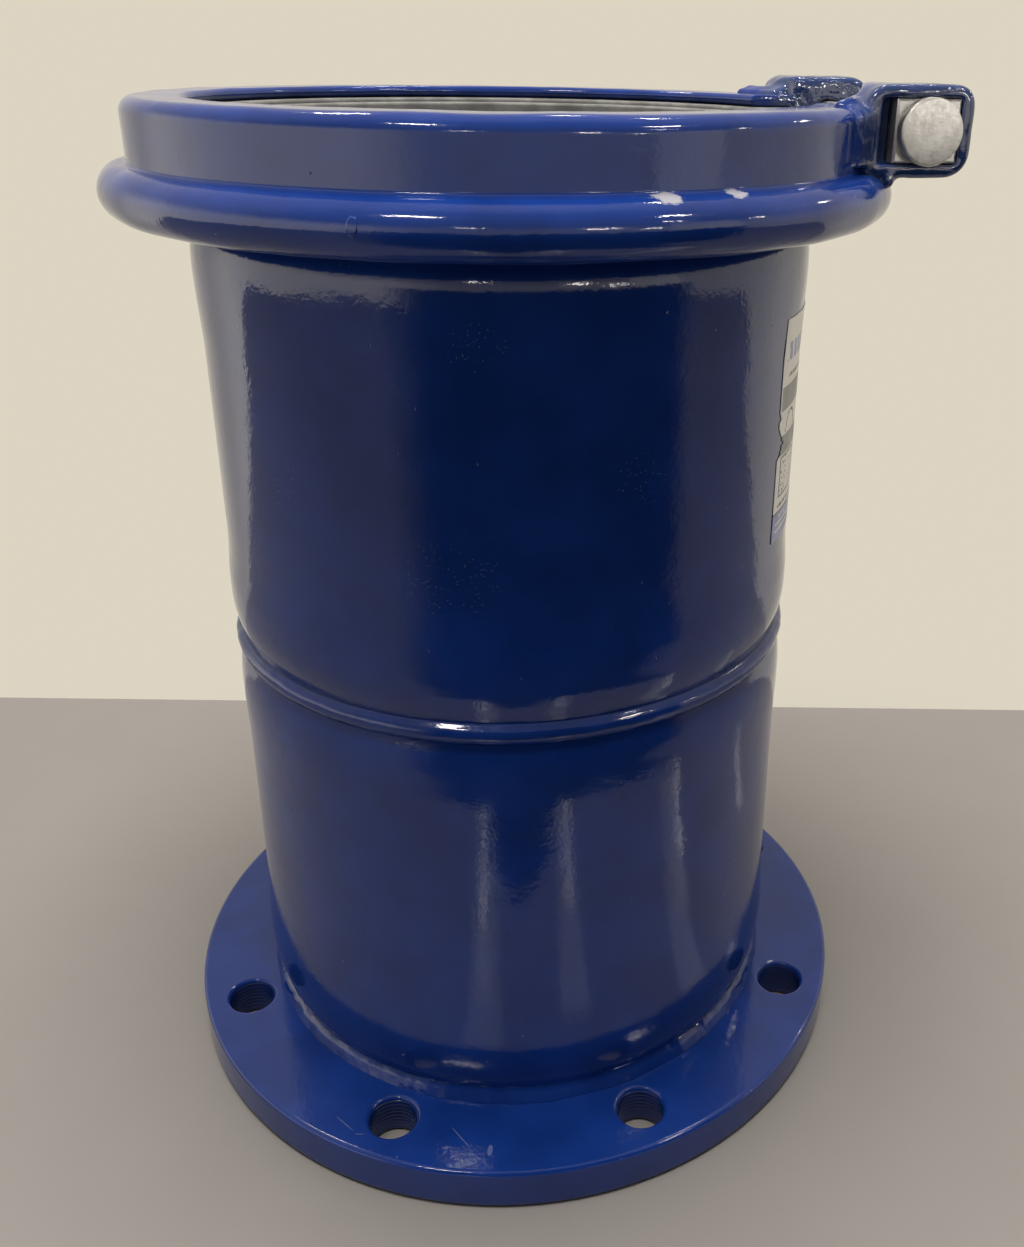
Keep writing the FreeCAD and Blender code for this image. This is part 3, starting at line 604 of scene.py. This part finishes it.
BEAD = (154, 419)
ring_line = arc(BEAD, 10.2, -150, 90) + arc((154, 430.7), 1.5, -90, -180, 0.4)
ring_line += arc((146.5, 447.4), 6, 0, 90) + arc((131.5, 450.9), 2.5, 90, 270, 0.5)
ring_line += arc((146.5, 447.4), 1, 90, 0, 0.4) + arc((154, 430.7), 6.5, 180, 270) + arc(BEAD, 5.2, 90, -150)
HALF_GAP = 46
ring = turned("clamp_ring_sheet", ring_line, 360)
cut(ring, block("gap", (60, -HALF_GAP, 380), (200, HALF_GAP, 480)))
choose(ring, "EDGE", along_edge(ring, lambda place: place.x > 0 and abs(abs(place.y) - HALF_GAP) < 0.01))
bpy.ops.mesh.bevel(offset=0.9 * MM, segments=3)
bpy.ops.object.mode_set(mode="OBJECT")
dent(ring, 0.30, 26, 1.0, seed=9)
dent(ring, 0.05, 7, 1.0, seed=1)
finish_as(smooth(ring, 50), blue_coat, "clamp", "clamp_ring", slot="blue_coat")


# ---------------------------------------------------------------- gasket

gasket = turned("gasket_ring", [v(125, 414.2)] + arc((139, 406.8), 15.6, 153, 90) + [v(144.5, 422.4), v(144.5, 448.0),
                v(127.4, 448.0)] + arc((126.6, 446.5), 1.5, 90, 180, 0.4) + [v(125.1, 441.5), v(125.6, 441.0),
                v(125.6, 440.2), v(125.0, 439.6)], 256)
finish_as(smooth(gasket, 50), gasket_rubber, "adapter", "gasket", slot="gasket_rubber")
liner = turned("gasket_liner_ring", rounded([(119.5, 425.1, 0.8), (124.9, 425.1, 0.3), (124.9, 446.1, 0.6),
                                             (119.5, 446.1, 1.4)], 0.5), 256)
finish_as(smooth(liner, 50), gasket_rubber, "adapter", "gasket_liner", slot="gasket_rubber")


# ---------------------------------------------------------------- lugs and their welds

BOLT_X = 158.5
BOLT_Z = 444.8
MOUTH = 76
LUG_LOW = (133.0, 427.3)
LUG_HIGH = (177.8, 461.8)


def ring_core(inset):
    """Body of the ring's outside, a little inside its skin, that a lug is fitted over."""
    line = [v(100, 405)] + arc(BEAD, 10.2 - inset, -90, 90) + [v(152.5 - inset, 430.7)]
    line += arc((146.5, 447.4), 6 - inset, 0, 90) + [v(100, 453.4 - inset)]
    return turned("core", line, 256)


def make_lug(side):
    """Box lug, open away from the gap, and its weld on the ring: run together by the coat, then parted."""
    near_end, far_end = sorted((HALF_GAP * side, MOUTH * side))
    lug = block("lug", (LUG_LOW[0], near_end, LUG_LOW[1]), (LUG_HIGH[0], far_end, LUG_HIGH[1]))
    for width, test in ((9.0, lambda place: place.x < 140 and place.z > 450), (7.0, lambda place: place.x > 170 and place.z > 450),
                        (9.5, lambda place: place.x > 170 and place.z < 440),
                        (3.0, lambda place: place.x < 140 and place.z < 440),
                        (2.2, lambda place: abs(abs(place.y) - MOUTH) < 0.01), (3.0, lambda place: abs(abs(place.y) - HALF_GAP) < 0.01)):
        choose(lug, "EDGE", along_edge(lug, test))
        bpy.ops.mesh.bevel(offset=width * MM, segments=5)
        bpy.ops.object.mode_set(mode="OBJECT")
    cut(lug, turned("inner_side", [v(100, 452), v(148.2, 452), v(148.2, 470), v(100, 470)], 192))
    parts = [lug]
    for step in range(7):
        reach = 2.8 * step
        angle = math.asin((MOUTH - 1.5 + reach) / 152.5) * side
        radius = 152.5 + 4.4 * (1 - reach / 18) ** 2 - 4.2
        foot, top = (v(radius * math.cos(angle), radius * math.sin(angle), level) for level in (431.5, 449.8 - reach * 0.12))
        parts.append(rod("fillet", foot, top, 4.2, 32))
        parts.append(lump("fillet_end", top, (4.2, 4.2, 4.0 - reach * 0.09)))
    for inside, level, size in ((147.5, 453.6, 3.6), (144.0, 452.9, 2.8), (162.7, 426.2, 3.0)):
        first, last = (v(math.sqrt(inside ** 2 - across ** 2), across * side, level) for across in (50, MOUTH))
        parts.append(rod("web", first, last, size, 32))
    for index in range(16):
        wobble = noise.noise_vector(v(index * 1.7, side, 0.4))
        reach = 2 + 10 * abs(wobble.x)
        level = 446 + 9 * ((index * 0.37) % 1)
        radius = 151.6 if level < 450 else 149.0
        angle = math.asin((MOUTH + reach) / 153) * side
        parts.append(lump("drop", (radius * math.cos(angle), radius * math.sin(angle), min(level, 452.4)), (2.6, 2.4, 2.0)))
    lug = join("lug", parts)
    melted(lug, 0.8, 12)
    pocket_ends = sorted(((HALF_GAP + 10.5) * side, (MOUTH + 14) * side))
    pocket = block("pocket", (145.2, pocket_ends[0], 432.7), (172.0, pocket_ends[1], 456.9))
    hollow = (MOUTH + 1.5) * side
    cut(pocket, rod("mouth_hollow", (148.2, hollow, 432.7), (148.2, hollow, 456.9), 9.0, 64), "UNION")
    cut(lug, pocket)
    cut(lug, rod("bore", (BOLT_X, 30 * side, BOLT_Z), (BOLT_X, 60 * side, BOLT_Z), 6.95))
    melted(lug, 0.7, 8)
    dent(lug, 0.28, 12, 1.0, seed=12 + side)
    dent(lug, 0.22 if side > 0 else 0.10, 4.0, 1.0, seed=15 + side)
    cut(lug, ring_core(1.8))
    beyond = sorted(((MOUTH + 0.3) * side, (MOUTH + 40) * side))
    pick(lug)
    bpy.ops.object.duplicate()
    weld = bpy.context.object
    cut(weld, block("weld_side", (60, beyond[0], 400), (200, beyond[1], 480)), "INTERSECT")
    cut(lug, block("weld_side", (60, beyond[0], 400), (200, beyond[1], 480)))
    return smooth(lug, 55), smooth(only_largest(weld), 55)


for end, side in (("head", -1), ("nut", 1)):
    lug_body, weld_run = make_lug(side)
    lug_body.name = end + "_lug_body"
    weld_run.name = end + "_lug_weld_run"
    finish_as(lug_body, blue_coat, "clamp", end + "_lug", slot="blue_coat")
    finish_as(weld_run, blue_coat, "clamp", end + "_lug_weld", slot="blue_coat")
finish_as(from_cad("bridge_plate_sheet", "bridge_plate", 0.5), zinc_plate, "clamp", "bridge_plate", slot="zinc_plate")


# ---------------------------------------------------------------- bolt, plates, washer and nut

finish_as(from_cad("head_plate_block", "head_plate", 0.9), zinc_plate, "clamp", "head_plate", slot="zinc_plate")
finish_as(from_cad("nut_plate_block", "nut_plate", 0.9), zinc_plate, "clamp", "nut_plate", slot="zinc_plate")

PITCH = 1.954
BOLT_END = 114.4


def make_thread(start, end):
    """Thread between two places on the bolt's axis, with a closed core inside."""
    turns = int((end - start) / PITCH)
    deselect()
    bpy.ops.mesh.primitive_plane_add(size=MM, location=(5.3 * MM, 0, 0))
    thread = bpy.context.object
    bpy.ops.object.mode_set(mode="EDIT")
    bpy.ops.mesh.select_mode(type="VERT")
    bpy.ops.mesh.merge(type="CENTER")
    for across, up in ((0.86, 0.80), (0.14, 0.10), (0, 0.16), (-0.14, 0.10), (-0.86, 0.794)):
        bpy.ops.mesh.extrude_vertices_move(TRANSFORM_OT_translate={"value": (across * MM, 0, up * MM)})
    bpy.ops.object.mode_set(mode="OBJECT")
    settle(thread)
    shape_with(thread, "SCREW", axis="Z", angle=math.tau, screw_offset=PITCH * MM, iterations=turns, steps=40,
               render_steps=40, use_merge_vertices=True, merge_threshold=0.01 * MM)
    thread.rotation_euler = (math.radians(-90), 0, 0)
    thread.location = (BOLT_X * MM, start * MM, BOLT_Z * MM)
    closed_up(settle(thread))
    core = rod("core", (BOLT_X, start - 1, BOLT_Z), (BOLT_X, end, BOLT_Z), 5.45)
    return join("thread", [thread, core])


def make_bolt():
    head = turned("head", rounded([(0, 0, 0), (12.6, 0, 0.5), (12.6, 5.2, 1.2), (6.0, 5.5, 8.0),
                            (0, 5.6, 0)], 0.3), 96)
    head.rotation_euler = (math.radians(90), 0, 0)
    head.location = (BOLT_X * MM, -(MOUTH + 0.1) * MM, BOLT_Z * MM)
    settle(head)
    neck = block("neck", (BOLT_X - 6.45, -76.2, BOLT_Z - 6.45), (BOLT_X + 6.45, -69.6, BOLT_Z + 6.45))
    shank = rod("shank", (BOLT_X, -72, BOLT_Z), (BOLT_X, 46, BOLT_Z), 6.3)
    return join("clamp_bolt_steel", [head, neck, shank, make_thread(46, BOLT_END - 1.2)])


def laid_on_axis(piece, along):
    """Lay a turned piece on the bolt's axis, pointing to +Y."""
    piece.rotation_euler = (math.radians(-90), 0, 0)
    piece.location = (BOLT_X * MM, along * MM, BOLT_Z * MM)
    return settle(piece)


finish_as(smooth(make_bolt(), 35), zinc_plate, "clamp", "clamp_bolt", slot="zinc_plate")
washer = laid_on_axis(turned("nut_washer_disc", rounded([(6.95, 0, 0.3), (13.5, 0, 0.5), (13.5, 2.5, 0.7),
                                                         (6.95, 2.5, 0.4)], 0.3), 72), MOUTH + 0.1)
finish_as(smooth(washer, 40), zinc_plate, "washer", "nut_washer", slot="zinc_plate")
spindle = turned("spindle", [v(5.0, -1), v(9.4, -1), v(9.6, 0.05), v(11.2, 0.9), v(11.2, 10.2), v(9.6, 11.05),
                             v(9.4, 12), v(5.0, 12)], 72)
deselect()
bpy.ops.mesh.primitive_cylinder_add(vertices=6, radius=19.05 / math.sqrt(3) * MM, depth=11.1 * MM,
                                    location=(0, 0, 5.55 * MM))
nut_block = settle(bpy.context.object)
cut(nut_block, spindle, "INTERSECT")
closed_up(cut(nut_block, rod("thread_hole", (0, 0, -2), (0, 0, 14), 6.4)))
nut_block.name = "clamp_nut_block"
laid_on_axis(nut_block, MOUTH + 2.6)
shape_with(nut_block, "BEVEL", width=0.25 * MM, segments=2, limit_method="ANGLE", angle_limit=math.radians(35))
finish_as(smooth(nut_block, 40, weighted=True), zinc_plate, "nut", "clamp_nut", slot="zinc_plate")


# ---------------------------------------------------------------- label

LABEL_LEFT = math.radians(54.8)
LABEL_WIDTH = 101.8
LABEL_LOW = 274.2
LABEL_HIGH = 373


def printed(across, up):
    """Which paper shows at a place on the label: 0 white, 1 grey, 2 violet, 3 dark."""
    marks = noise.noise(v(across * 0.9, up * 0.9, 3.0))
    if up < 12.8:
        return 0 if 3 < across < 98 and (4 < up < 4.8 or 7.2 < up < 8 or (9.5 < up < 11 and marks > 0.1)) else 2
    if up < 13.6 or (15.4 < up < 17.2 and 5 < across < 96 and int(across / 1.2) % 5):
        return 3
    if 39.5 < up < 48.5 or 59.5 < up < 70:
        return 1 if 1.5 < across < 100 else 0
    if 73 < up < 75 and 8 < across < 70 and int(across / 1.2) % 4:
        return 3
    if 80 < up < 88 and 5 < across < 62:
        return 2 if (across + 0.25 * up) % 7 < 4.6 else 0
    for middle in (17, 46, 75):
        beside = abs(across - middle)
        if 20 < up < 38.5 and beside < 12:
            if beside > 11 or up < 21 or up > 37.6:
                return 3
            if beside > 3 and marks > 0.28:
                return 3
        if 49 < up < 59 and abs(math.hypot(across - middle, (up - 49) * 0.9) - 7.6) < 0.6:
            return 3
    return 0


def torn(up):
    """How far the label's left edge is torn away at a height."""
    ragged = noise.noise(v(up * 0.7, 2.0, 5.0))
    return max(7.5 * (1 - abs(up - 45) / 7.5), 2.6 * (1 - abs(up - 57) / 2.2), 0) * (0.9 + 0.5 * ragged)


def make_label():
    """Paper label: a flat sheet cut into fields, torn at one edge and laid round the sleeve."""
    deselect()
    height = LABEL_HIGH - LABEL_LOW
    bpy.ops.mesh.primitive_grid_add(x_subdivisions=85, y_subdivisions=123, size=1)
    sheet = bpy.context.object
    sheet.name = "label_sheet"
    bpy.ops.object.mode_set(mode="EDIT")
    bpy.ops.transform.resize(value=(LABEL_WIDTH, height, 1))
    bpy.ops.transform.translate(value=(LABEL_WIDTH / 2, height / 2, 0))
    bpy.ops.object.mode_set(mode="OBJECT")
    for material in (label_white, label_grey, label_violet, label_dark):
        sheet.data.materials.append(material)
    for face in sheet.data.polygons:
        face.material_index = printed(face.center.x, face.center.y)
    choose(sheet, "FACE", lambda face: face.center.x < torn(face.center.y))
    bpy.ops.mesh.delete(type="FACE")
    bpy.ops.object.mode_set(mode="OBJECT")
    for vertex in sheet.data.vertices:
        across, up, _ = vertex.co
        angle = LABEL_LEFT + across / 131.9
        level = LABEL_LOW + up
        lean = max(0.0, min(1.0, (level - 355) / 33)) * 1.3
        radius = (131.82 + lean) * MM
        vertex.co = (radius * math.sin(angle), -radius * math.cos(angle), level * MM)
    return sheet


label = make_label()
shape_with(label, "SOLIDIFY", thickness=0.25 * MM, offset=1.0)
smooth(label, 40)
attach(label, "adapter")
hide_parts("label")


# ---------------------------------------------------------------- floor, light and camera

def make_floor():
    """Plain pale table top; its far edge is the line behind the object."""
    deselect()
    bpy.ops.mesh.primitive_plane_add(size=1)
    floor = bpy.context.object
    floor.name = "floor"
    corners = [(-2600, -1900), (2600, -1900), (-2600, 682), (2600, -129)]
    for vertex, corner in zip(floor.data.vertices, corners):
        vertex.co = v(*corner, 0) * MM
    pale = new_finish("floor_pale", Specular_IOR_Level=0.25)
    place = place_on_piece(pale)
    colour = mixed(pale, noise_at(pale, place, 45, 3), (0.188, 0.175, 0.167, 1), (0.198, 0.185, 0.177, 1))
    surface(pale, colour, ramp(pale, noise_at(pale, place, 60, 2), 0.3, 0.7, 0.40, 0.48), noise_at(pale, place, 1, 2), 0.02)
    floor.data.materials.append(pale)


def make_flag():
    """Dark card below and behind the camera, which the glossy barrel mirrors as its dark middle, and a painted shadow
    lying on the table, which only the gloss sees.
    """
    deselect()
    bpy.ops.mesh.primitive_plane_add(size=1)
    flag = bpy.context.object
    flag.name = "flag"
    corners = [(-430, 0), (760, 0), (-430, 418), (760, 418)]
    for vertex, corner in zip(flag.data.vertices, corners):
        vertex.co = v(corner[0], -420, corner[1]) * MM
    dark = new_finish("flag_dark", Roughness=1.0, Base_Color=(0.012, 0.013, 0.016, 1), Specular_IOR_Level=0.0)
    place = place_on_piece(dark)
    across = node(dark, "SeparateXYZ", {0: place}).outputs["X"]
    upward = node(dark, "SeparateXYZ", {0: place}).outputs["Z"]
    clear = math_of(dark, "MAXIMUM", ramp(dark, across, -430 * MM, -200 * MM, 1.0, 0.0),
                    ramp(dark, upward, 396 * MM, 418 * MM))
    clear = math_of(dark, "MAXIMUM", clear, ramp(dark, across, 500 * MM, 760 * MM))
    shader = dark.node_tree.nodes["Principled BSDF"]
    glass = node(dark, "BsdfTransparent")
    blend = node(dark, "MixShader", {0: clear, 1: shader.outputs[0], 2: glass.outputs[0]})
    dark.node_tree.links.new(blend.outputs[0], dark.node_tree.nodes["Material Output"].inputs["Surface"])
    flag.data.materials.append(dark)
    flag.visible_camera = False
    # Painted shadow: a dark sheet lying on the table in front, seen only in the glossy sleeve's mirror as the shade on
    # the table.
    shadow_outline = [(-331, -255), (-228, -339), (-127, -359), (-83, -343), (-48, -309), (-21, -298), (11, -320), (43, -352),
              (95, -377), (165, -366), (214, -347), (339, -256), (385, -190), (560, -290), (640, -419), (-600, -419), (-560, -330)]
    shadow_sheet = drawn("painted_floor_shadow", [(*point, 1) for point in shadow_outline])
    bpy.ops.mesh.edge_face_add()
    bpy.ops.object.mode_set(mode="OBJECT")
    settle(shadow_sheet)
    if shadow_sheet.data.polygons[0].normal.z < 0:
        shadow_sheet.data.flip_normals()
    shadow_sheet_finish = new_finish("painted_floor_shadow_dark", Roughness=1.0, Base_Color=(0.012, 0.013, 0.016, 1), Specular_IOR_Level=0.0)
    below = node(shadow_sheet_finish, "NewGeometry").outputs["Backfacing"]
    across = node(shadow_sheet_finish, "SeparateXYZ", {0: place_on_piece(shadow_sheet_finish)}).outputs["X"]
    below = math_of(shadow_sheet_finish, "MAXIMUM", below, ramp(shadow_sheet_finish, across, -310 * MM, -150 * MM, 1.0, 0.0))
    below = math_of(shadow_sheet_finish, "MAXIMUM", below, ramp(shadow_sheet_finish, across, 290 * MM, 390 * MM))
    shader = shadow_sheet_finish.node_tree.nodes["Principled BSDF"]
    blend = node(shadow_sheet_finish, "MixShader", {0: below, 1: shader.outputs[0], 2: node(shadow_sheet_finish, "BsdfTransparent").outputs[0]})
    shadow_sheet_finish.node_tree.links.new(blend.outputs[0], shadow_sheet_finish.node_tree.nodes["Material Output"].inputs["Surface"])
    shadow_sheet.data.materials.append(shadow_sheet_finish)
    for seen_by in ("camera", "diffuse", "shadow", "transmission"):
        setattr(shadow_sheet, "visible_" + seen_by, False)


def make_lamp(name, place, aim, size, radiance, colour=(1, 1, 1)):
    """Soft rectangular lamp, given by how bright its face looks."""
    deselect()
    bpy.ops.object.light_add(type="AREA", location=Vector(place) * MM)
    lamp = bpy.context.object
    lamp.name = name
    lamp.rotation_euler = (Vector(place) - Vector(aim)).to_track_quat("Z", "Y").to_euler()
    lamp.data.shape = "RECTANGLE"
    lamp.data.size = size[0] * MM
    lamp.data.size_y = size[1] * MM
    lamp.data.energy = radiance * math.pi * size[0] * size[1] * MM * MM
    lamp.data.color = colour
    lamp.visible_camera = False


def make_ceiling_lamps():
    """Small bright lamps overhead, by their direction from the ring: to the right of front, and upwards."""
    centre = v(0, 0, 400)
    for index, (across, upward, wide, high, radiance) in enumerate((
            (-34, 48, 620, 130, 45), (-14, 18, 240, 70, 15), (20, 12, 300, 50, 48), (50, 41, 420, 110, 42), (43, 26, 200, 70, 26),
            (69, 18, 170, 60, 30), (34, 8, 300, 40, 24), (104, 27, 240, 90, 30), (-150, 55, 420, 120, 36), (165, 55, 260, 100, 30), (130, 62, 300, 110, 30))):
        around = math.radians(across)
        rise = math.radians(upward)
        way = v(math.sin(around) * math.cos(rise), -math.cos(around) * math.cos(rise), math.sin(rise))
        make_lamp(f"ceiling_{index}", centre + way * 2600, centre, (wide * 0.8, high * 0.6), radiance * 3, (1, 0.97, 0.92))
        bpy.context.object.visible_diffuse = False


def make_overhead():
    """Broad soft light from above, which the gloss doesn't mirror."""
    make_lamp("overhead", (-50, -150, 2300), (0, 0, 300), (1200, 1200), 20, (1, 0.97, 0.93))
    bpy.context.object.visible_glossy = False
    make_lamp("front_fill", (0, -405, 40), (0, -120, 90), (700, 120), 1.1, (0.9, 0.95, 1))
    bpy.context.object.visible_glossy = False
    make_lamp("lug_card", (262, -310, 466), (158, -78, 445), (130, 110), 0.5)


def make_low_lamps():
    """Narrow lamps lying in front, which draw the upright streaks on the lower sleeve."""
    strips = ((-15.6, 275, 350, 7, 1.6), (-15.6, 225, 385, 16, 0.45), (-15, 195, 385, 36, 0.22), (12.2, 290, 385, 15, 1.0),
              (11.6, 215, 385, 34, 0.28), (54.5, 300, 415, 11, 1.4), (52.5, 250, 400, 22, 0.4), (50, 190, 380, 34, 0.2),
              (88, 290, 405, 20, 0.45))
    for index, (across, near_end, far_end, wide, radiance) in enumerate(strips):
        around = math.radians(across)
        way = v(math.sin(around), -math.cos(around), 0)
        middle = way * (near_end + far_end) / 2 + v(0, 0, 3)
        make_lamp(f"low_{index}", middle, middle + v(0, 0, 100), (10, 10), 1)
        lamp = bpy.context.object
        lamp.rotation_euler = (0, math.pi, around)
        lamp.data.size = wide * MM
        lamp.data.size_y = (far_end - near_end) * MM
        lamp.data.energy = radiance * math.pi * wide * (far_end - near_end) * MM * MM


def make_world():
    """Pale room all round."""
    world = bpy.data.worlds.new("room")
    bpy.context.scene.world = world
    world.use_nodes = True
    sky = world.node_tree.nodes["Background"]
    way = node(world, "TexCoord").outputs["Generated"]
    axes = node(world, "SeparateXYZ", {0: way})
    low = ramp(world, axes.outputs["Z"], -0.75, -0.45, 1.0, 0.0)
    colour = mixed(world, low, (0.72, 0.66, 0.54, 1), (0.30, 0.28, 0.25, 1))
    front = math_of(world, "MULTIPLY", ramp(world, axes.outputs["Y"], -0.5, 0.1, 1.0, 0.0),
                    ramp(world, axes.outputs["Z"], 0.12, 0.40))
    colour = mixed(world, front, colour, (0.32, 0.31, 0.28, 1))
    level = math_of(world, "MULTIPLY", ramp(world, axes.outputs["Z"], -0.6, -0.35),
                    ramp(world, axes.outputs["Z"], 0.12, 0.40, 1.0, 0.0))
    level = math_of(world, "MULTIPLY", level, ramp(world, axes.outputs["Y"], 0.4, 0.75, 1.0, 0.0))
    left = math_of(world, "MULTIPLY", level, ramp(world, axes.outputs["X"], -0.80, -0.35, 1.0, 0.0))
    right = math_of(world, "MULTIPLY", level, ramp(world, axes.outputs["X"], 0.60, 0.90))
    colour = mixed(world, left, colour, (1.80, 1.68, 1.45, 1))
    colour = mixed(world, right, colour, (1.00, 0.93, 0.79, 1))
    world.node_tree.links.new(colour, sky.inputs["Color"])


def make_camera():
    """Camera at the photograph's angle."""
    deselect()
    bpy.ops.object.camera_add()
    camera = bpy.context.object
    forward = v(0.149, 0.9026, -0.404).normalized()
    right = forward.cross(v(0, 0, 1)).normalized()
    up = right.cross(forward)
    roll = math.radians(0.97)
    across = right * math.cos(roll) + up * math.sin(roll)
    upward = up * math.cos(roll) - right * math.sin(roll)
    turn = Matrix((across, upward, -forward)).transposed()
    camera.matrix_world = Matrix.Translation(v(-37.9, -541.8, 472.2) * MM) @ turn.to_4x4()
    camera.data.lens = 34.33
    camera.data.sensor_width = 36
    camera.data.shift_x = -0.083
    camera.data.shift_y = -0.0395
    camera.data.clip_start = 0.01
    bpy.context.scene.camera = camera


make_floor()
make_flag()
make_ceiling_lamps()
make_overhead()
make_low_lamps()
make_world()
make_camera()
bpy.context.scene.view_settings.view_transform = "Standard"
